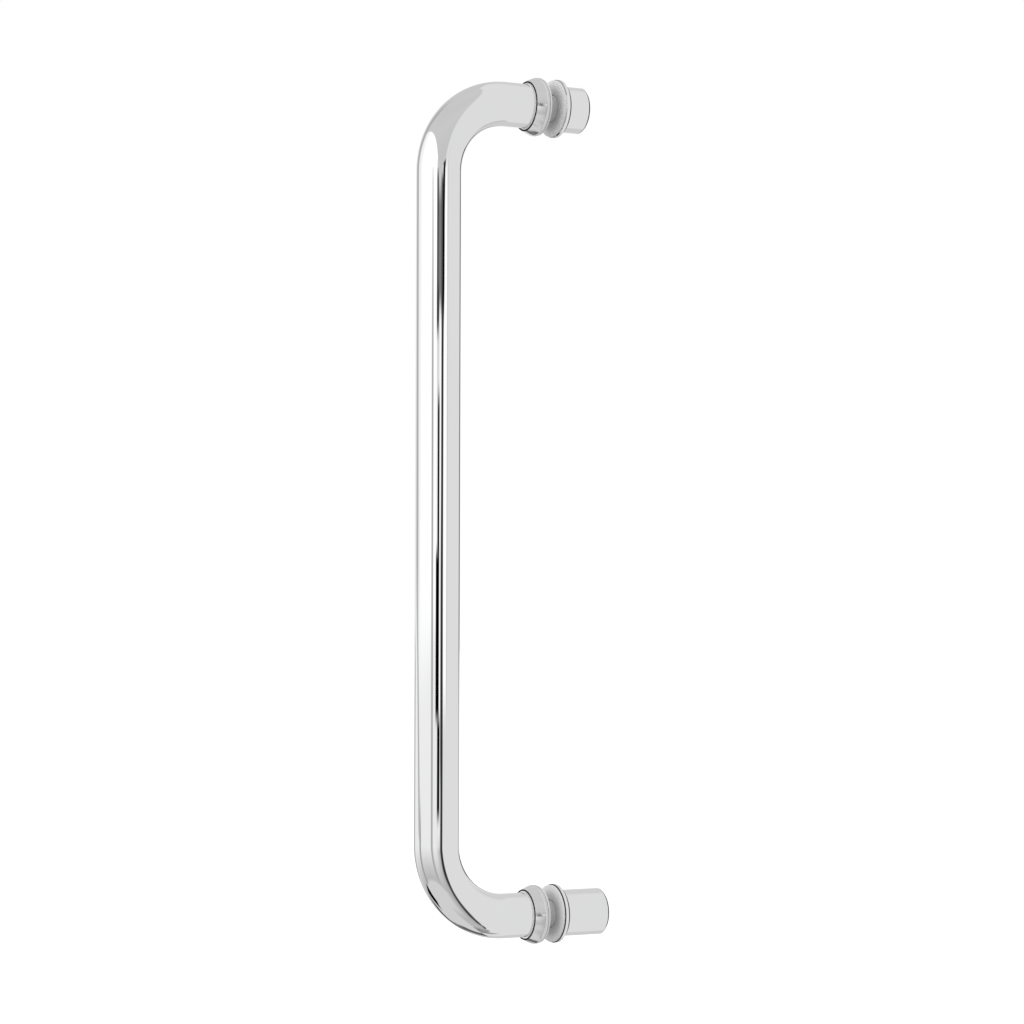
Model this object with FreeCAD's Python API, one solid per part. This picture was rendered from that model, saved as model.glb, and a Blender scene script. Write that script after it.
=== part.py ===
import FreeCAD, Part
import os
from FreeCAD import Vector

# Tubular pull handle for a glass shower door, clamped through two holes in the glass. The frame is the
# door's: +Z up, the user stands on the -Y side, and the origin is on the glass's front face, midway
# between the two holes.

# Driving dimensions in millimetres
hole_spacing = 457.0
glass_thickness = 8.0

tube_diameter = 25.0
tube_wall = 1.5
bend_radius = 41.0
leg_straight = 15.1

seal_width = 0.6
seal_stand = 0.3

socket_depth = 1.2
socket_lip = 0.7
groove_depth = 0.9
nose_land = 0.25
nose_chamfer = 0.15
cone_length = 5.4
cone_flare = 2.4
cone_bulge = 0.15
rim_width = 2.1
rim_chamfer = 0.45

gasket_thickness = 1.2
gasket_inset = 0.45

rear_washer_thickness = 3.6
glass_side_chamfer = 0.5
cap_side_chamfer = 1.4

sleeve_diameter = 15.0

stud_diameter = 8.0
stud_point = 0.8

plug_setback = 2.8
plug_floor = 2.0
plug_chamfer = 0.5

cap_diameter = 26.0
upper_cap_length = 13.7
lower_cap_length = 26.9
cap_end_wall = 3.0
cap_mouth_chamfer = 0.35
cap_end_chamfer = 0.8

# Clearances
tube_clearance = 0.05
seal_clearance = 0.05
plug_clearance = 0.05
thread_clearance = 0.1
stud_clearance = 0.4
sleeve_clearance = 0.25
sleeve_shortfall = 0.4

# Places along a leg, from the glass's front face and positive towards the far side of the door
front_gasket_y = -gasket_thickness
cone_end_y = front_gasket_y - rim_width
nose_y = cone_end_y - cone_length
tube_end_y = nose_y + socket_depth
groove_y = nose_y + groove_depth
bend_y = tube_end_y - leg_straight
bar_y = bend_y - bend_radius
plug_y = bend_y + plug_setback
stud_y = plug_y + plug_floor
rear_gasket_y = glass_thickness
rear_washer_y = rear_gasket_y + gasket_thickness
cap_y = rear_washer_y + rear_washer_thickness
stud_end_y = cap_y + upper_cap_length - cap_end_wall

# Radii and heights that follow
tube_radius = tube_diameter / 2
tube_bore_radius = tube_radius - tube_wall
socket_radius = tube_radius + tube_clearance
groove_radius = socket_radius + socket_lip
groove_rim_radius = groove_radius + seal_width
nose_radius = groove_rim_radius + nose_land
rim_radius = nose_radius + cone_flare
sleeve_radius = sleeve_diameter / 2
clear_hole_radius = stud_diameter / 2 + stud_clearance
thread_radius = stud_diameter / 2 + thread_clearance
leg_height = hole_spacing / 2
bar_half = leg_height - bend_radius


def turned(edges):
    """Solid of revolution about the Y axis from a closed profile in the XY plane, x being the radius."""
    profile = Part.Face(Part.Wire(Part.sortEdges(edges)[0]))
    return profile.revolve(Vector(0, 0, 0), Vector(0, 1, 0), 360)


def rod(radius, y0, y1):
    return Part.makeCylinder(radius, y1 - y0, Vector(0, y0, 0), Vector(0, 1, 0))


def ring(inner_radius, outer_radius, y0, y1):
    return rod(outer_radius, y0, y1).cut(rod(inner_radius, y0, y1))


def circle_edges(shape, radius, y):
    """Circular edges of a turned piece with this radius and this place along its axis."""
    near = 1e-4
    circles = [edge for edge in shape.Edges if isinstance(edge.Curve, Part.Circle)]
    return [
        edge
        for edge in circles
        if abs(edge.Curve.Radius - radius) < near and abs(edge.Curve.Center.y - y) < near
    ]


def bent_rod(radius):
    """Rod along the handle's centre line: leg, bend, bar, bend, leg."""
    pieces = [Part.makeCylinder(radius, 2 * bar_half, Vector(0, bar_y, -bar_half))]
    for side in (1, -1):
        bend_end = Vector(0, bend_y, side * leg_height)
        section = Part.Face(Part.Wire(Part.makeCircle(radius, bend_end, Vector(0, 1, 0))))
        bend_centre = Vector(0, bend_y, side * bar_half)
        pieces.append(section.revolve(bend_centre, Vector(side, 0, 0), 90))
        pieces.append(Part.makeCylinder(radius, leg_straight, bend_end, Vector(0, 1, 0)))
    return pieces[0].fuse(pieces[1:]).removeSplitter()


def handle_tube():
    return bent_rod(tube_radius).cut(bent_rod(tube_bore_radius))


def tube_plug():
    """Threaded plug fixed flush in the tube's open end, with a blind hole for the stud."""
    radius = tube_bore_radius - plug_clearance
    body = rod(radius, plug_y, tube_end_y)
    body = body.makeChamfer(plug_chamfer, circle_edges(body, radius, plug_y))
    return body.cut(rod(thread_radius, stud_y, tube_end_y))


def mounting_stud():
    radius = stud_diameter / 2
    body = rod(radius, stud_y, stud_end_y)
    ends = circle_edges(body, radius, stud_y) + circle_edges(body, radius, stud_end_y)
    return body.makeChamfer(stud_point, ends)


def tube_seal():
    """Black ring in the groove of the washer's nose, a little proud of it."""
    inner = groove_radius + seal_clearance
    outer = groove_rim_radius - seal_clearance
    return ring(inner, outer, nose_y - seal_stand, groove_y)


def front_washer():
    """Turned washer: a nose with the tube's socket and the seal's groove, a swelling cone and a straight rim."""
    nose = Vector(nose_radius, nose_y, 0)
    crease = Vector(rim_radius, cone_end_y, 0)
    slope = (crease - nose).normalize()
    outward = Vector(slope.y, -slope.x, 0)
    swell = (nose + crease) * 0.5 + outward * cone_bulge
    corners = [
        crease,
        Vector(rim_radius, front_gasket_y, 0),
        Vector(clear_hole_radius, front_gasket_y, 0),
        Vector(clear_hole_radius, tube_end_y, 0),
        Vector(socket_radius, tube_end_y, 0),
        Vector(socket_radius, nose_y, 0),
        Vector(groove_radius, nose_y, 0),
        Vector(groove_radius, groove_y, 0),
        Vector(groove_rim_radius, groove_y, 0),
        Vector(groove_rim_radius, nose_y, 0),
        nose,
    ]
    cone = Part.Arc(nose, swell, crease).toShape()
    body = turned(Part.makePolygon(corners).Edges + [cone])
    body = body.makeChamfer(rim_chamfer, circle_edges(body, rim_radius, front_gasket_y))
    return body.makeChamfer(nose_chamfer, circle_edges(body, nose_radius, nose_y))


def gasket(y):
    return ring(sleeve_radius + sleeve_clearance, rim_radius - gasket_inset, y, y + gasket_thickness)


def glass_sleeve():
    """Sleeve that keeps the stud off the glass, a little short so that the washers clamp the glass."""
    return ring(clear_hole_radius, sleeve_radius, front_gasket_y, rear_washer_y - sleeve_shortfall)


def rear_washer():
    body = ring(clear_hole_radius, rim_radius, rear_washer_y, cap_y)
    body = body.makeChamfer(glass_side_chamfer, circle_edges(body, rim_radius, rear_washer_y))
    return body.makeChamfer(cap_side_chamfer, circle_edges(body, rim_radius, cap_y))


def end_cap(length):
    """Cap nut with a blind threaded hole as deep as the stud reaches."""
    radius = cap_diameter / 2
    body = rod(radius, cap_y, cap_y + length)
    body = body.makeChamfer(cap_end_chamfer, circle_edges(body, radius, cap_y + length))
    body = body.makeChamfer(cap_mouth_chamfer, circle_edges(body, radius, cap_y))
    return body.cut(rod(thread_radius, cap_y, stud_end_y))


def fittings(cap_length):
    """Pieces of one fixing, on the Y axis, by name."""
    return {
        "tube_plug": tube_plug(),
        "mounting_stud": mounting_stud(),
        "tube_seal": tube_seal(),
        "front_washer": front_washer(),
        "front_gasket": gasket(front_gasket_y),
        "glass_sleeve": glass_sleeve(),
        "rear_gasket": gasket(rear_gasket_y),
        "rear_washer": rear_washer(),
        "end_cap": end_cap(cap_length),
    }


def save(shape, name):
    shape.exportStep(os.path.join("parts", name + ".step"))


os.makedirs("parts", exist_ok=True)
save(handle_tube(), "handle_tube")
for place, height, cap_length in (
    ("upper", leg_height, upper_cap_length),
    ("lower", -leg_height, lower_cap_length),
):
    for name, shape in fittings(cap_length).items():
        shape.translate(Vector(0, 0, height))
        save(shape, place + "_" + name)
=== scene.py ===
import math
import bmesh
import bpy
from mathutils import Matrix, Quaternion, Vector


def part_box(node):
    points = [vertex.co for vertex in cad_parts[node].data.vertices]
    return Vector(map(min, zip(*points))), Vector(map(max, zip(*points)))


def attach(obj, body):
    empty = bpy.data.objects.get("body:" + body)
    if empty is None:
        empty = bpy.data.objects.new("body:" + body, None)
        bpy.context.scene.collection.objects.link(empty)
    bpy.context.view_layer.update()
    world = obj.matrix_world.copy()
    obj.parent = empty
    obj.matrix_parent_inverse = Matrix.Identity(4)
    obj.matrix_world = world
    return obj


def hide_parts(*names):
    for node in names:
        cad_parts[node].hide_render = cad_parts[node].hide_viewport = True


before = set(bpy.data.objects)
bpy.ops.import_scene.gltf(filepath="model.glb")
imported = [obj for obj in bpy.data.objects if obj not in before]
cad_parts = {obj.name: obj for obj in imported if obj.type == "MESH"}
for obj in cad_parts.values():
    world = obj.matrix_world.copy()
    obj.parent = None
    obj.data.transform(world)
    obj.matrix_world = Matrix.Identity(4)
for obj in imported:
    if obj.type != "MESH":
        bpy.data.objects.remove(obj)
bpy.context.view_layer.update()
print("frame loaded with", len(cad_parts), "nodes")


# node wiring: a Wire is a socket that takes part in sums, and a Bench adds nodes to one tree

class Wire:
    def __init__(self, bench, socket):
        self.bench = bench
        self.socket = socket

    def math(self, operation, other=0.0):
        return self.bench.add("ShaderNodeMath", {"operation": operation}, {0: self, 1: other})

    def beside(self, name):                           # another output of the same node
        return Wire(self.bench, self.socket.node.outputs[name])

    def __add__(self, other):
        return self.math("ADD", other)

    def __sub__(self, other):
        return self.math("SUBTRACT", other)

    def __mul__(self, other):
        return self.math("MULTIPLY", other)

    def __truediv__(self, other):
        return self.math("DIVIDE", other)

    __radd__ = __add__
    __rmul__ = __mul__


class Bench:
    def __init__(self, tree):
        self.tree = tree
        tree.nodes.clear()

    def add(self, kind, settings=None, sockets=None, out=0):
        node = self.tree.nodes.new(kind)
        for key, value in (settings or {}).items():
            if key == "stops":                        # a colour ramp's places and greys
                ramp = node.color_ramp
                while len(ramp.elements) < len(value):
                    ramp.elements.new(0.5)
                for element, (place, colour) in zip(ramp.elements, value):
                    element.position = place
                    element.color = (*colour, 1.0)
            else:
                setattr(node, key, value)
        for key, value in (sockets or {}).items():
            if isinstance(value, Wire):
                self.tree.links.new(value.socket, node.inputs[key])
            else:
                node.inputs[key].default_value = value
        return Wire(self, node.outputs[out]) if node.outputs else node

    def rise(self, value, start, end):                # 0 before start, 1 after end, smooth between
        return self.add("ShaderNodeMapRange", {"interpolation_type": "SMOOTHSTEP"},
                        {"Value": value, "From Min": start, "From Max": end})

    def blendColour(self, factor, first, second):
        return self.add("ShaderNodeMix", {"data_type": "RGBA"},
                        {"Factor": factor, "A": first, "B": second}, out="Result")

    def speckle(self, place, scale, detail):
        return self.add("ShaderNodeTexNoise", None, {"Vector": place, "Scale": scale, "Detail": detail})

    def roughen(self, height, strength, depth=0.0001):
        return self.add("ShaderNodeBump", None, {"Strength": strength, "Distance": depth, "Height": height})


# small modelling helpers, all on the active piece

hair = 2e-6                                           # corners closer than this are in one place


def startPiece():
    if bpy.context.object and bpy.context.object.mode == "EDIT":
        bpy.ops.object.mode_set(mode="OBJECT")
    bpy.ops.object.select_all(action="DESELECT")


def selectEdges(test):
    mesh = bmesh.from_edit_mesh(bpy.context.object.data)
    bpy.ops.mesh.select_all(action="DESELECT")
    for edge in mesh.edges:
        edge.select_set(all(test(corner.co) for corner in edge.verts))
    mesh.select_flush_mode()
    bmesh.update_edit_mesh(bpy.context.object.data)


def ringAt(radius, y, height):
    def test(place):
        return abs(math.hypot(place.x, place.z - height) - radius) < hair and abs(place.y - y) < hair
    return test


def addRing(radius, y, height, corners):
    startPiece()
    bpy.ops.mesh.primitive_circle_add(vertices=corners, radius=radius, fill_type="NOTHING",
                                      location=(0, y, height), rotation=(math.pi / 2, 0, 0))
    bpy.ops.object.transform_apply(location=True, rotation=True, scale=True)
    bpy.ops.object.mode_set(mode="EDIT")
    bpy.ops.mesh.select_mode(type="EDGE")
    bpy.ops.mesh.select_all(action="SELECT")


def drawOut(step):
    bpy.ops.mesh.extrude_region_move(TRANSFORM_OT_translate={"value": step})


def closeUp(name, smoothAngle=35):
    bpy.ops.mesh.select_all(action="SELECT")
    bpy.ops.mesh.remove_doubles(threshold=1e-7)
    bpy.ops.mesh.normals_make_consistent(inside=False)
    bpy.ops.object.mode_set(mode="OBJECT")
    piece = bpy.context.object
    piece.name = name
    piece.data.name = name
    bpy.ops.object.shade_smooth_by_angle(angle=math.radians(smoothAngle))
    return piece


def applyModifier(piece, kind, **settings):
    modifier = piece.modifiers.new(kind.lower(), kind)
    for key, value in settings.items():
        setattr(modifier, key, value)
    bpy.context.view_layer.objects.active = piece
    bpy.ops.object.modifier_apply(modifier=modifier.name)


def markPaintedLight(share):                                  # selected faces, such as a fresh bevel, get the painted light finish: painted shade on chrome, a painted highlight on the tube's ends
    mesh = bmesh.from_edit_mesh(bpy.context.object.data)
    layer = mesh.faces.layers.float.get("dull") or mesh.faces.layers.float.new("dull")
    for face in mesh.faces:
        if face.select:
            face[layer] = share
    bmesh.update_edit_mesh(bpy.context.object.data)


# turns a ring along a profile of (radius, y) stations; edges to bevel are (radius, y, width, segments,
# painted share) and bands of faces between two rings are (radius, y, radius, y, painted share), the painted
# share being how much painted shade or highlight a face gets
def turnPiece(name, stations, height, edges=(), corners=192, closed=True, bands=()):
    radius, y = stations[0]
    addRing(radius, y, height, corners)
    for nextRadius, nextY in stations[1:]:
        drawOut((0, nextY - y, 0))
        scale = nextRadius / radius
        bpy.ops.transform.resize(value=(scale, 1, scale), center_override=(0, nextY, height))
        radius, y = nextRadius, nextY
    first, last = ringAt(*stations[0], height), ringAt(*stations[-1], height)
    if closed:
        selectEdges(lambda place: first(place) or last(place))
        bpy.ops.mesh.bridge_edge_loops()
    else:                                             # solid ends: the last and first rings shrink to poles
        bpy.ops.mesh.merge(type="CENTER")
        selectEdges(first)
        bpy.ops.mesh.merge(type="CENTER")
    for startRadius, startY, endRadius, endY, paintedShare in bands:
        first, last = ringAt(startRadius, startY, height), ringAt(endRadius, endY, height)
        selectEdges(lambda place: first(place) or last(place))
        markPaintedLight(paintedShare)
    for edgeRadius, edgeY, width, segments, paintedShare in edges:
        selectEdges(ringAt(edgeRadius, edgeY, height))
        bpy.ops.mesh.bevel(offset=width, segments=segments, profile=0.5, affect="EDGES")
        markPaintedLight(paintedShare)
    piece = closeUp(name)
    applyModifier(piece, "WEIGHTED_NORMAL", keep_sharp=True, weight=100)
    return piece


def copyDown(piece, name, drop):
    startPiece()
    piece.select_set(True)
    bpy.context.view_layer.objects.active = piece
    bpy.ops.object.duplicate(linked=False)
    copied = bpy.context.object
    copied.name = name
    copied.data.name = name
    bpy.ops.transform.translate(value=(0, 0, -drop))
    bpy.ops.object.transform_apply(location=True, rotation=True, scale=True)
    return copied


# bent tube, with a painted highlight on its ends up to the washers: a white band that glows

tubeLow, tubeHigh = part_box("handle_tube")
bentTube = {
    "radius": tubeHigh.x,
    "wall": 0.0015,
    "bendRadius": 0.041,
    "corners": 160,
    "bendSteps": 48,
    "barSteps": 60,
    "legSteps": 4,
    "paintedHighlightEnd": 0.0013,
    "paintedHighlightShare": 1.0,
}
legHeight = tubeHigh.z - bentTube["radius"]
legEnd = tubeHigh.y
barDepth = tubeLow.y + bentTube["radius"]


def bendDown(size, centre):
    bpy.ops.mesh.spin(steps=size["bendSteps"], angle=-math.pi / 2, center=centre, axis=(1, 0, 0))


def makeTube(size):
    bendY = barDepth + size["bendRadius"]
    barHalf = legHeight - size["bendRadius"]
    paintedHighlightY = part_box("upper_front_washer")[0].y - size["paintedHighlightEnd"]
    addRing(size["radius"], legEnd, legHeight, size["corners"])
    drawOut((0, paintedHighlightY - legEnd, 0))
    for step in range(size["legSteps"]):
        drawOut((0, (bendY - paintedHighlightY) / size["legSteps"], 0))
    bendDown(size, (0, bendY, barHalf))
    for step in range(size["barSteps"]):
        drawOut((0, 0, -2 * barHalf / size["barSteps"]))
    bendDown(size, (0, bendY, -barHalf))
    for step in range(size["legSteps"]):
        drawOut((0, (paintedHighlightY - bendY) / size["legSteps"], 0))
    drawOut((0, legEnd - paintedHighlightY, 0))
    # the ends up to the washers get the painted highlight
    selectEdges(lambda place: place.y > paintedHighlightY - hair)
    markPaintedLight(size["paintedHighlightShare"])
    piece = closeUp("bentTube")
    applyModifier(piece, "SOLIDIFY", thickness=size["wall"], offset=-1, use_even_offset=True)
    return piece


bentTubePiece = makeTube(bentTube)
print("tube bent,", len(bentTubePiece.data.polygons), "faces")


# cone washers in front of the glass

studHole = 0.0044                                     # radius of the stud's hole in washers and sleeves
washerLow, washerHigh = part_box("upper_front_washer")
coneWasher = {
    "bore": studHole,
    "socket": 0.01252,
    "groove": 0.01325,
    "grooveRim": 0.01385,
    "grooveDepth": 0.0009,
    "nose": 0.0141,
    "coneLength": 0.0054,
    "bulge": 0.00015,
    "rim": washerHigh.x,
    "noseRound": 0.00015,
    # painted shade: the nose land, its round and the back chamfer black, the rim band a little darker
    "noseShade": 1.0,
    "creaseRound": 0.00025,
    "roundSteps": 4,
    "rimChamfer": 0.00045,
    "chamferShade": 1.0,
    "rimShade": 0.2,
    "coneRings": 5,
}


def makeConeWasher(size):
    noseY, backY = washerLow.y, washerHigh.y
    creaseY = noseY + size["coneLength"]
    floorY = legEnd                                   # the tube's end sits on the socket's floor
    grooveY = noseY + size["grooveDepth"]
    stations = [(size["bore"], backY), (size["bore"], floorY), (size["socket"], floorY),
                (size["socket"], noseY), (size["groove"], noseY), (size["groove"], grooveY),
                (size["grooveRim"], grooveY), (size["grooveRim"], noseY), (size["nose"], noseY)]
    for ring in range(1, size["coneRings"]):
        share = ring / size["coneRings"]
        swell = 4 * size["bulge"] * share * (1 - share)
        radius = size["nose"] + (size["rim"] - size["nose"]) * share
        stations.append((radius + swell, noseY + size["coneLength"] * share))
    stations += [(size["rim"], creaseY), (size["rim"], backY)]
    edges = [(size["nose"], noseY, size["noseRound"], size["roundSteps"], size["noseShade"]),
             (size["rim"], creaseY, size["creaseRound"], size["roundSteps"], 0),
             (size["rim"], backY, size["rimChamfer"], 1, size["chamferShade"])]
    bands = [(size["rim"], creaseY, size["rim"], backY, size["rimShade"]),
             (size["grooveRim"], noseY, size["nose"], noseY, size["noseShade"])]
    return turnPiece("upperConeWasher", stations, legHeight, edges, bands=bands)


upperConeWasher = makeConeWasher(coneWasher)
lowerConeWasher = copyDown(upperConeWasher, "lowerConeWasher", 2 * legHeight)
print("cone washers turned")


# black seals in the washers' grooves

sealLow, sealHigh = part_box("upper_tube_seal")
tubeSeal = {"inner": 0.0133, "outer": sealHigh.x, "lipRound": 0.00022, "lipSteps": 4}


def makeSeal(size):
    inner, outer = size["inner"], size["outer"]
    stations = [(inner, sealHigh.y), (inner, sealLow.y), (outer, sealLow.y), (outer, sealHigh.y)]
    edges = [(radius, sealLow.y, size["lipRound"], size["lipSteps"], 0) for radius in (inner, outer)]
    return turnPiece("upperSeal", stations, legHeight, edges)


upperSeal = makeSeal(tubeSeal)
lowerSeal = copyDown(upperSeal, "lowerSeal", 2 * legHeight)
print("seals moulded")


# vinyl gaskets, one each side of the glass

gasket = {"bore": 0.00775, "edgeRound": 0.00025, "edgeSteps": 3}


def makeGasket(name, node, size):
    low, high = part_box(node)
    bore, outer = size["bore"], high.x
    stations = [(bore, high.y), (bore, low.y), (outer, low.y), (outer, high.y)]
    edges = [(radius, y, size["edgeRound"], size["edgeSteps"], 0)
             for radius in (bore, outer) for y in (low.y, high.y)]
    return turnPiece(name, stations, legHeight, edges)


upperFrontGasket = makeGasket("upperFrontGasket", "upper_front_gasket", gasket)
upperRearGasket = makeGasket("upperRearGasket", "upper_rear_gasket", gasket)
lowerFrontGasket = copyDown(upperFrontGasket, "lowerFrontGasket", 2 * legHeight)
lowerRearGasket = copyDown(upperRearGasket, "lowerRearGasket", 2 * legHeight)
print("gaskets cut")


# sleeves that line the holes in the glass

sleeveLow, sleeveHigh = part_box("upper_glass_sleeve")
glassSleeve = {"bore": studHole, "outer": sleeveHigh.x, "edgeRound": 0.0003, "edgeSteps": 3, "corners": 128}


def makeSleeve(size):
    bore, outer = size["bore"], size["outer"]
    stations = [(bore, sleeveHigh.y), (bore, sleeveLow.y), (outer, sleeveLow.y), (outer, sleeveHigh.y)]
    edges = [(outer, y, size["edgeRound"], size["edgeSteps"], 0) for y in (sleeveLow.y, sleeveHigh.y)]
    return turnPiece("upperSleeve", stations, legHeight, edges, size["corners"])


upperSleeve = makeSleeve(glassSleeve)
lowerSleeve = copyDown(upperSleeve, "lowerSleeve", 2 * legHeight)
print("sleeves moulded")


# flat washers behind the glass

backWasherLow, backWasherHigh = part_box("upper_rear_washer")
backWasher = {
    "bore": studHole,
    "rim": backWasherHigh.x,
    "glassChamfer": 0.0005,
    # painted shade: the glass chamfer darker on the lower washer than the upper, the cap chamfer black
    "upperGlassShade": 0.4,
    "lowerGlassShade": 1.0,
    "capChamfer": 0.0014,
    "capShade": 1.0,
}


def makeBackWasher(name, height, glassShade, size):
    bore, rim = size["bore"], size["rim"]
    frontY, backY = backWasherLow.y, backWasherHigh.y
    stations = [(bore, backY), (bore, frontY), (rim, frontY), (rim, backY)]
    edges = [(rim, frontY, size["glassChamfer"], 1, glassShade),
             (rim, backY, size["capChamfer"], 1, size["capShade"])]
    return turnPiece(name, stations, height, edges)


upperBackWasher = makeBackWasher("upperBackWasher", legHeight, backWasher["upperGlassShade"], backWasher)
lowerBackWasher = makeBackWasher("lowerBackWasher", -legHeight, backWasher["lowerGlassShade"], backWasher)
print("back washers turned")


# cap nuts, short above and long below

capNut = {
    "thread": 0.0041,
    "endWall": 0.003,
    "mouthChamfer": 0.00035,
    # painted shade: the chamfers and a narrow band beside each are black lines at the mouth and the end
    "mouthShadeBand": 0.0003,
    "endChamfer": 0.0008,
    "endShadeBand": 0.0003,
    "chamferShade": 1.0,
    "polePoint": 0.0005,
}


def makeCap(name, node, height, size):
    low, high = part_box(node)
    radius = high.x
    dull = size["chamferShade"]
    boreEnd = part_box("upper_end_cap")[1].y - size["endWall"]          # both studs end there
    mouthY = low.y + size["mouthChamfer"] + size["mouthShadeBand"]
    endY = high.y - size["endChamfer"] - size["endShadeBand"]
    stations = [(size["polePoint"], boreEnd), (size["thread"], boreEnd), (size["thread"], low.y),
                (radius, low.y), (radius, mouthY), (radius, endY), (radius, high.y),
                (size["polePoint"], high.y)]
    edges = [(radius, high.y, size["endChamfer"], 1, dull), (radius, low.y, size["mouthChamfer"], 1, dull)]
    bands = [(radius, low.y, radius, mouthY, dull), (radius, endY, radius, high.y, dull)]
    return turnPiece(name, stations, height, edges, closed=False, bands=bands)


upperCap = makeCap("upperCap", "upper_end_cap", legHeight, capNut)
lowerCap = makeCap("lowerCap", "lower_end_cap", -legHeight, capNut)
print("caps turned")


# finishes

def startFinish(name):
    material = bpy.data.materials.new(name)
    material.use_nodes = True
    bench = Bench(material.node_tree)
    place = bench.add("ShaderNodeTexCoord", out="Object")
    return material, bench, place


def endFinish(bench, sockets, dull=0.0, paintedLightSockets=None):
    surface = bench.add("ShaderNodeBsdfPrincipled", None, sockets)
    if paintedLightSockets:                                   # a second finish, the painted light, where the mask is 1: painted shade on chrome, a painted highlight on the tube's ends
        second = bench.add("ShaderNodeBsdfPrincipled", None, paintedLightSockets)
        surface = bench.add("ShaderNodeMixShader", None, {0: dull, 1: surface, 2: second})
    bench.add("ShaderNodeOutputMaterial", None, {"Surface": surface})


chrome = {
    "light": (0.95, 0.95, 0.95, 1),
    "deep": (0.91, 0.913, 0.918, 1),
    # the next two colours are painted shade: near-black for the dark lines at gaps, chamfers and bands
    "turned": (0.03, 0.03, 0.03, 1),
    "paintedShadeGrey": (0.05, 0.05, 0.05, 1),
    # the next two colours and the glow are the painted highlight, a white glowing band at the tube's ends
    "paintedHighlight": (0.95, 0.95, 0.95, 1),
    "paintedHighlightDim": (0.9, 0.9, 0.9, 1),
    "paintedHighlightGlow": 0.2,
    "cloud": 18.0,
    "haze": 420.0,
    "hazeRoughness": 0.02,
    "polishedRoughness": 0.01,
    "satinRoughness": 0.16,
    # the next three set the painted light finish
    "paintedLightRoughness": 0.5,
    "paintedLightHaze": 0.2,
    "paintedLightShine": 0.1,
}


def chromeFinish(name, look, roughness, paintedTones=("turned", "paintedShadeGrey"), glow=0.0):
    material, bench, place = startFinish(name)
    cloud = bench.speckle(place, look["cloud"], 3.0)
    haze = bench.speckle(place, look["haze"], 2.0)
    # share of painted shade, or of the tube's painted highlight, on each face
    dull = bench.add("ShaderNodeAttribute", {"attribute_name": "dull"}, out="Fac")
    first, second = (look[tone] for tone in paintedTones)
    endFinish(bench, {
        "Base Color": bench.blendColour(cloud, look["light"], look["deep"]),
        "Metallic": 1.0,
        "Roughness": roughness + look["hazeRoughness"] * haze * cloud,
    }, dull, {
        "Base Color": bench.blendColour(haze, first, second),
        "Roughness": look["paintedLightRoughness"] + look["paintedLightHaze"] * haze,
        "Specular IOR Level": look["paintedLightShine"],
        "Emission Color": first,
        "Emission Strength": glow,
    })
    return material


vinyl = {
    "pale": (0.99, 0.99, 0.99, 1),
    "cloudy": (0.95, 0.95, 0.95, 1),
    # inner is the painted shade towards the sleeve, and glow a painted glow near the rim
    "inner": (0.68, 0.67, 0.675, 1),
    "innerFrom": 0.0078,
    "innerTo": 0.0155,
    "glowFrom": 0.0105,
    "glow": 0.07,
    "cloud": 160.0,
    "grain": 1800.0,
    "bump": 0.04,
    "roughness": 0.28,
    "cloudRoughness": 0.12,
    "bending": 1.52,
}


def vinylFinish(look):
    material, bench, place = startFinish("clearVinyl")
    cloud = bench.speckle(place, look["cloud"], 3.0)
    grain = bench.speckle(place, look["grain"], 2.0)
    aside = bench.add("ShaderNodeSeparateXYZ", None, {"Vector": place}, out="X")
    above = aside.beside("Z").math("ABSOLUTE") - legHeight
    radius = (aside * aside + above * above).math("SQRT")
    clear = bench.blendColour(cloud, look["pale"], look["cloudy"])
    lit = bench.rise(radius, look["innerFrom"], look["innerTo"])      # painted shade: darker towards the sleeve, clear at the rim
    # a painted glow near the rim
    glow = bench.rise(radius, look["glowFrom"], look["innerTo"])
    endFinish(bench, {
        "Base Color": bench.blendColour(lit, look["inner"], clear),
        "Emission Color": bench.blendColour(glow, (0, 0, 0, 1), look["pale"]),
        "Emission Strength": look["glow"],
        "Roughness": look["roughness"] + look["cloudRoughness"] * cloud,
        "IOR": look["bending"],
        "Normal": bench.roughen(grain, look["bump"]),
    })
    return material


nylon = {
    "pale": (0.66, 0.655, 0.66, 1),
    "dull": (0.58, 0.577, 0.58, 1),
    "glow": 0.06,
    "grain": 900.0,
    "bump": 0.15,
    "roughness": 0.4,
    "grainRoughness": 0.15,
}


def nylonFinish(look):
    material, bench, place = startFinish("greyNylon")
    grain = bench.speckle(place, look["grain"], 3.0)
    endFinish(bench, {
        "Base Color": bench.blendColour(grain, look["pale"], look["dull"]),
        # the emission is a painted glow that lightens the sleeve
        "Emission Color": look["dull"],
        "Emission Strength": look["glow"],
        "Roughness": look["roughness"] + look["grainRoughness"] * grain,
        "Normal": bench.roughen(grain, look["bump"]),
    })
    return material


rubber = {
    "dark": (0.008, 0.008, 0.008, 1),
    "worn": (0.02, 0.02, 0.021, 1),
    "shine": 0.1,
    "grain": 1400.0,
    "bump": 0.2,
    "roughness": 0.55,
    "grainRoughness": 0.2,
}


def rubberFinish(look):
    material, bench, place = startFinish("blackRubber")
    grain = bench.speckle(place, look["grain"], 2.0)
    endFinish(bench, {
        "Base Color": bench.blendColour(grain, look["dark"], look["worn"]),
        "Roughness": look["roughness"] + look["grainRoughness"] * grain,
        "Specular IOR Level": look["shine"],
        "Normal": bench.roughen(grain, look["bump"]),
    })
    return material


steel = {
    "bright": (0.62, 0.62, 0.61, 1),
    "dull": (0.5, 0.49, 0.47, 1),
    "cloud": 120.0,
    "turning": 1500.0,
    "waver": 0.6,
    "bump": 0.1,
    "bumpDepth": 0.00005,
    "roughness": 0.3,
    "cloudRoughness": 0.15,
}


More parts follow.
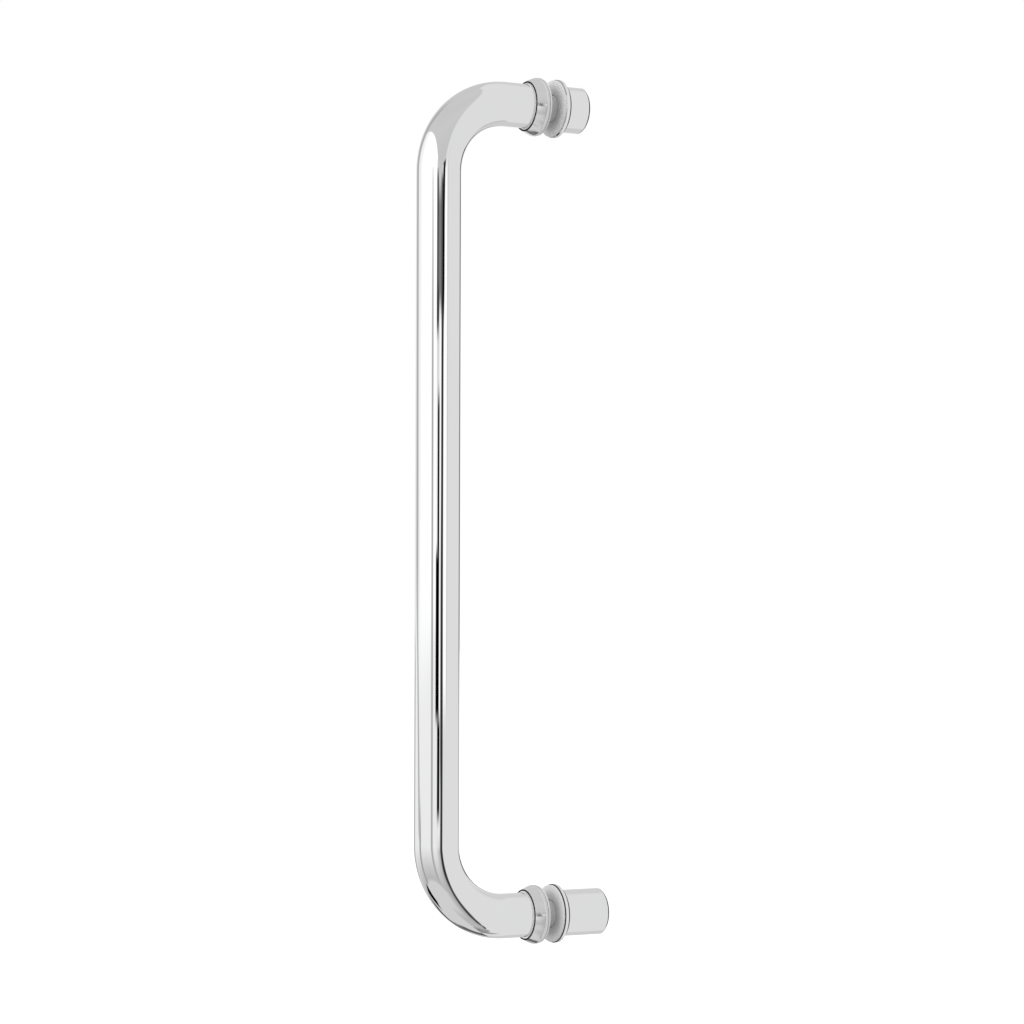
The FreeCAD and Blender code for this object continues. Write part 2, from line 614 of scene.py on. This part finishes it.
def steelFinish(look):
    material, bench, place = startFinish("platedSteel")
    cloud = bench.speckle(place, look["cloud"], 4.0)
    turning = bench.add("ShaderNodeTexWave", {"bands_direction": "Y"},
                        {"Vector": place, "Scale": look["turning"], "Distortion": look["waver"]}, out="Fac")
    endFinish(bench, {
        "Base Color": bench.blendColour(cloud, look["bright"], look["dull"]),
        "Metallic": 1.0,
        "Roughness": look["roughness"] + look["cloudRoughness"] * cloud,
        "Normal": bench.roughen(turning, look["bump"], look["bumpDepth"]),
    })
    return material


chromeMaterial = chromeFinish("polishedChromeWithPaintedShade", chrome, chrome["polishedRoughness"])
tubeMaterial = chromeFinish("paintedHighlightEndChrome", chrome, chrome["polishedRoughness"],
                            ("paintedHighlight", "paintedHighlightDim"), chrome["paintedHighlightGlow"])
satinMaterial = chromeFinish("satinChromeWithPaintedShade", chrome, chrome["satinRoughness"])
vinylMaterial = vinylFinish(vinyl)
nylonMaterial = nylonFinish(nylon)
rubberMaterial = rubberFinish(rubber)
steelMaterial = steelFinish(steel)

dressed = [
    (bentTubePiece, "handle_tube", "polished_chrome", tubeMaterial),
    (upperConeWasher, "upper_front_washer", "polished_chrome", satinMaterial),
    (lowerConeWasher, "lower_front_washer", "polished_chrome", satinMaterial),
    (upperBackWasher, "upper_rear_washer", "polished_chrome", chromeMaterial),
    (lowerBackWasher, "lower_rear_washer", "polished_chrome", chromeMaterial),
    (upperCap, "upper_end_cap", "polished_chrome", chromeMaterial),
    (lowerCap, "lower_end_cap", "polished_chrome", chromeMaterial),
    (upperSeal, "upper_tube_seal", "black_rubber", rubberMaterial),
    (lowerSeal, "lower_tube_seal", "black_rubber", rubberMaterial),
    (upperFrontGasket, "upper_front_gasket", "clear_vinyl", vinylMaterial),
    (lowerFrontGasket, "lower_front_gasket", "clear_vinyl", vinylMaterial),
    (upperRearGasket, "upper_rear_gasket", "clear_vinyl", vinylMaterial),
    (lowerRearGasket, "lower_rear_gasket", "clear_vinyl", vinylMaterial),
    (upperSleeve, "upper_glass_sleeve", "grey_nylon", nylonMaterial),
    (lowerSleeve, "lower_glass_sleeve", "grey_nylon", nylonMaterial),
]
for piece, node, slot, material in dressed:
    piece.data.materials.clear()
    piece.data.materials.append(material)
    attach(piece, "root")
    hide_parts(node)

for name in ("upper_mounting_stud", "lower_mounting_stud", "upper_tube_plug", "lower_tube_plug"):
    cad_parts[name].data.materials[0] = steelMaterial
print("finishes set on", len(dressed), "pieces")


# camera at the photograph's angle

photoView = {
    "azimuth": 62.2662,
    "elevation": -1.9022,
    "roll": 0.1428,
    "distance": 1.63042,
    "lens": 103.05,
    "sensor": 36,
    "nearClip": 0.05,
    "lookAt": (0.01918, -0.02682, -0.00276),
}


def makeCamera(view):
    azimuth, elevation = math.radians(view["azimuth"]), math.radians(view["elevation"])
    back = Vector((math.sin(azimuth) * math.cos(elevation), -math.cos(azimuth) * math.cos(elevation),
                   math.sin(elevation)))
    bpy.ops.object.camera_add(location=Vector(view["lookAt"]) + back * view["distance"])
    camera = bpy.context.object
    camera.rotation_mode = "QUATERNION"
    camera.rotation_quaternion = ((-back).to_track_quat("-Z", "Y")
                                  @ Quaternion((0, 0, 1), math.radians(view["roll"])))
    camera.data.lens = view["lens"]
    camera.data.sensor_width = view["sensor"]
    camera.data.clip_start = view["nearClip"]
    bpy.context.scene.camera = camera


startPiece()
makeCamera(photoView)
print("camera placed")


# studio: a pale tent with panels and flags, mostly seen in the chrome; across is azimuth in degrees,
# 0 behind the camera and + to its right, upright is the slope up from level, soft is half the width of a
# blurred edge; a card with facing is flat, fromEdge counts across from the right panel's near edge, and
# lean slants the sides

studio = {
    "facing": photoView["azimuth"],
    "leanTop": 8.0,
    "edgeUnit": 90,
    "tent": [(-90, 0.66), (-37, 0.66), (-33, 0.5), (-22, 0.62), (-5, 0.87), (0, 0.92), (8, 0.62), (14, 0.58),
             (40, 0.62), (60, 0.6), (90, 0.62)],
    # azimuth of the right panel's near edge at each elevation
    "edge": [(-90, 150), (-77, 144), (-75, 71), (-63, 44.6), (-55, 39.2), (-49, 36), (-41, 34.5),
             (-30, 33.3), (-20, 32.6), (-11.5, 33.6), (-8.6, 33.2), (-5.8, 32), (-2.5, 32.3), (0, 30.8),
             (5.5, 30.3), (6.3, 33), (8, 33.5), (9, 37), (16, 36), (20, 34), (28, 32.5), (90, 32.5)],
    "cards": [
        # far left, beyond the left panel
        {"across": (-185, -141), "sideSoft": (2, 3),
         "upright": (-0.25, 0.3), "endSoft": (0.2, 0.1), "grey": 0.85},
        {"across": (-165, -140), "sideSoft": (4, 3),
         "upright": (-0.3, -0.012), "endSoft": (0.1, 0.012), "grey": 0.45},
        # left panel, then its seams
        {"facing": -75, "across": (-119, -4), "sideSoft": (3, 3),
         "upright": (-0.012, 0.87), "endSoft": (0.03, 0.02), "grey": 1.12},
        {"facing": -75, "across": (-119, -96), "sideSoft": (3, 12),
         "upright": (-0.012, 0.87), "endSoft": (0.03, 0.02), "grey": 0.93},
        {"across": (-28.7, -19.3), "sideSoft": (2.5, 2.5),
         "upright": (-0.6, 0.14), "endSoft": (0.1, 0.06), "lean": -0.35, "grey": 0.42},
        {"across": (-134, -111), "sideSoft": (3, 3),
         "upright": (0.0, 1.2), "endSoft": (0.02, 0.3), "lean": -1.4, "grey": 0.45},
        {"across": (-125, -113), "sideSoft": (3, 3),
         "upright": (-0.08, 0.01), "endSoft": (0.01, 0.01), "lean": -5, "grey": 0.45},
        {"across": (-95, -85), "sideSoft": (3, 3),
         "upright": (-0.72, -0.07), "endSoft": (0.05, 0.01), "grey": 0.35},
        # flags low on the left
        {"across": (-126, -102), "sideSoft": (3, 3),
         "upright": (-1.2, -0.65), "endSoft": (0.08, 0.03), "grey": 0.0},
        {"across": (-168, -136), "sideSoft": (4, 4),
         "upright": (-0.84, -0.57), "endSoft": (0.05, 0.06), "grey": 0.03},
        {"across": (-185, -152), "sideSoft": (3, 5),
         "upright": (-1.9, -0.9), "endSoft": (0.2, 0.1), "grey": 0.1},
        # shade under the handle
        {"across": (-12, 190), "sideSoft": (22, 3),
         "upright": (-60.0, -1.7), "endSoft": (20.0, 0.5), "grey": 0.5},
        {"across": (75, 190), "sideSoft": (40, 3),
         "upright": (-60.0, -3.5), "endSoft": (20.0, 1.0), "grey": 0.34},
        # right panel: upper half, shade beside its lower half, dark edge, lower half, dark edge higher up
        {"facing": 117.5, "fromEdge": True, "across": (0, 180), "sideSoft": (2, 4),
         "upright": (-0.3, 7.97), "endSoft": (0.02, 0.25), "grey": 0.76},
        {"fromEdge": True, "across": (-22, -6), "sideSoft": (14, 2),
         "upright": (-3.5, -0.09), "endSoft": (0.8, 0.05), "grey": 0.44},
        {"facing": 102, "fromEdge": True, "across": (-8.5, 152), "sideSoft": (3, 4),
         "upright": (-15.0, -0.3), "endSoft": (1.5, 0.05), "grey": 0.05},
        {"facing": 102, "fromEdge": True, "across": (0, 152), "sideSoft": (2, 4),
         "upright": (-10.0, -0.1), "endSoft": (1.0, 0.05), "grey": 0.76},
        {"across": (24, 48.5), "sideSoft": (2, 4),
         "upright": (-0.033, 0.16), "endSoft": (0.012, 0.02), "grey": 1.08},
        {"across": (49.5, 53), "sideSoft": (2, 1.5),
         "upright": (-0.033, 0.16), "endSoft": (0.012, 0.02), "grey": 0.56},
        {"fromEdge": True, "across": (-11.5, 0), "sideSoft": (2.5, 2),
         "upright": (-0.35, 0.115), "endSoft": (0.1, 0.02), "grey": 0.03},
        {"fromEdge": True, "across": (-14.5, -8), "sideSoft": (2, 2),
         "upright": (-0.058, 0.03), "endSoft": (0.01, 0.02), "grey": 0.03},
        # shade beyond the right panel, then the flag behind the handle
        {"across": (138, 190), "sideSoft": (8, 3),
         "upright": (-7.0, -2.4), "endSoft": (2.0, 0.3), "grey": 0.3},
        {"across": (128, 190), "sideSoft": (12, 3),
         "upright": (0.35, 1.5), "endSoft": (0.2, 0.3), "grey": 0.66},
        {"across": (139, 190), "sideSoft": (2, 3),
         "upright": (-1.4, -0.25), "endSoft": (0.1, 0.1), "grey": 0.63},
        {"across": (138.5, 144), "sideSoft": (2, 2.5),
         "upright": (-1.4, -0.4), "endSoft": (0.1, 0.1), "grey": 0.5},
        {"across": (146, 178), "sideSoft": (5, 2),
         "upright": (-0.035, 0.165), "endSoft": (0.035, 0.03), "grey": 0.17},
        {"across": (150, 178), "sideSoft": (5, 2),
         "upright": (-0.2, -0.03), "endSoft": (0.05, 0.02), "grey": 0.4},
        # gap in front of the camera
        {"across": (9, 18), "sideSoft": (2, 3),
         "upright": (-0.074, 0.108), "endSoft": (0.012, 0.006), "grey": 1.05},
        {"across": (1.5, 11), "sideSoft": (1.5, 1.5),
         "upright": (0.017, 0.0735), "endSoft": (0.004, 0.006), "grey": 0.0},
        {"across": (-6, 11), "sideSoft": (2, 2),
         "upright": (-0.038, 0.02), "endSoft": (0.004, 0.004), "grey": 0.0},
        {"across": (3, 16), "sideSoft": (2, 2),
         "upright": (-0.0715, -0.037), "endSoft": (0.004, 0.004), "grey": 0.0},
        {"across": (-4, 31), "sideSoft": (2, 2),
         "upright": (0.104, 0.143), "endSoft": (0.006, 0.006), "grey": 0.2},
        {"across": (-5, 6), "sideSoft": (2, 2),
         "upright": (0.095, 0.11), "endSoft": (0.005, 0.004), "grey": 0.0},
        {"across": (-5, 3), "sideSoft": (1.5, 1.5),
         "upright": (0.1, 0.156), "endSoft": (0.01, 0.01), "grey": 0.06},
        {"across": (16.5, 31), "sideSoft": (2, 2),
         "upright": (0.1, 0.15), "endSoft": (0.006, 0.006), "grey": 0.09},
        {"fromEdge": True, "across": (-10, 1), "sideSoft": (3, 2),
         "upright": (0.1, 0.19), "endSoft": (0.006, 0.012), "grey": 0.0},
    ],
}


# a value that follows the elevation through the given points, as shares of full
def byElevation(bench, elevation, points, full=1.0):
    stops = [((angle + 90) / 180, (value / full,) * 3) for angle, value in points]
    return bench.add("ShaderNodeValToRGB", {"stops": stops}, {"Fac": elevation / 180 + 0.5}, out="Color")


def cardMask(bench, sight, card):
    across, slope = sight["azimuth"], sight["slope"]
    if "facing" in card:                              # a flat card: its level edges bow over the azimuth
        turn = (across - card["facing"]) * math.radians(1)
        slope = slope / turn.math("COSINE").math("MAXIMUM", 0.001)
    if "fromEdge" in card:
        across = across - sight["edge"]
    if "lean" in card:
        across = across - card["lean"] * sight["dip"]
    (left, right), (leftSoft, rightSoft) = card["across"], card["sideSoft"]
    (low, high), (lowSoft, highSoft) = card["upright"], card["endSoft"]
    return (bench.rise(across, left - leftSoft, left + leftSoft)
            * bench.rise(across, right + rightSoft, right - rightSoft)
            * bench.rise(slope, low - lowSoft, low + lowSoft)
            * bench.rise(slope, high + highSoft, high - highSoft))


def makeStudio(look):
    world = bpy.data.worlds.new("studio")
    bpy.context.scene.world = world
    world.use_nodes = True
    bench = Bench(world.node_tree)
    place = bench.add("ShaderNodeTexCoord", out="Generated")
    turned = bench.add("ShaderNodeVectorRotate", {"rotation_type": "Z_AXIS"},
                       {"Vector": place, "Angle": -math.radians(look["facing"])})
    right = bench.add("ShaderNodeSeparateXYZ", None, {"Vector": turned}, out="X")
    back = -1 * right.beside("Y")
    elevation = right.beside("Z").math("ARCSINE") * math.degrees(1)
    sight = {
        "azimuth": right.math("ARCTAN2", back) * math.degrees(1),
        "slope": (elevation * math.radians(1)).math("TANGENT"),
        "dip": elevation.math("MINIMUM", look["leanTop"]),
        "edge": byElevation(bench, elevation, look["edge"], look["edgeUnit"]) * look["edgeUnit"],
    }
    colour = byElevation(bench, elevation, look["tent"])
    for card in look["cards"]:
        grey = card["grey"]
        colour = bench.blendColour(cardMask(bench, sight, card), colour, (grey, grey, grey, 1))
    seen = bench.add("ShaderNodeLightPath", out="Is Camera Ray")
    shown = bench.blendColour(seen, colour, (1, 1, 1, 1))             # the camera itself sees white
    surface = bench.add("ShaderNodeBackground", None, {"Color": shown})
    bench.add("ShaderNodeOutputWorld", None, {"Surface": surface})


makeStudio(studio)

floor = {"height": -0.32, "size": 30.0, "pale": (0.5, 0.5, 0.5, 1), "roughness": 0.9,
         "glow": (0.8, 0.8, 0.8, 1)}


def makeFloor(look):
    startPiece()
    bpy.ops.mesh.primitive_plane_add(size=look["size"], location=(0, 0, look["height"]))
    ground = bpy.context.object
    ground.name = "floor"
    ground.visible_glossy = False
    material = bpy.data.materials.new("paleFloor")
    material.use_nodes = True
    bench = Bench(material.node_tree)
    seen = bench.add("ShaderNodeLightPath", out="Is Camera Ray")
    surface = bench.add("ShaderNodeBsdfPrincipled", None, {
        "Base Color": look["pale"], "Roughness": look["roughness"], "Emission Strength": 1.0,
        "Emission Color": bench.blendColour(seen, (0, 0, 0, 1), look["glow"])})
    bench.add("ShaderNodeOutputMaterial", None, {"Surface": surface})
    ground.data.materials.append(material)


makeFloor(floor)
print("studio lit")

scene = bpy.context.scene
scene.view_settings.view_transform = "Standard"
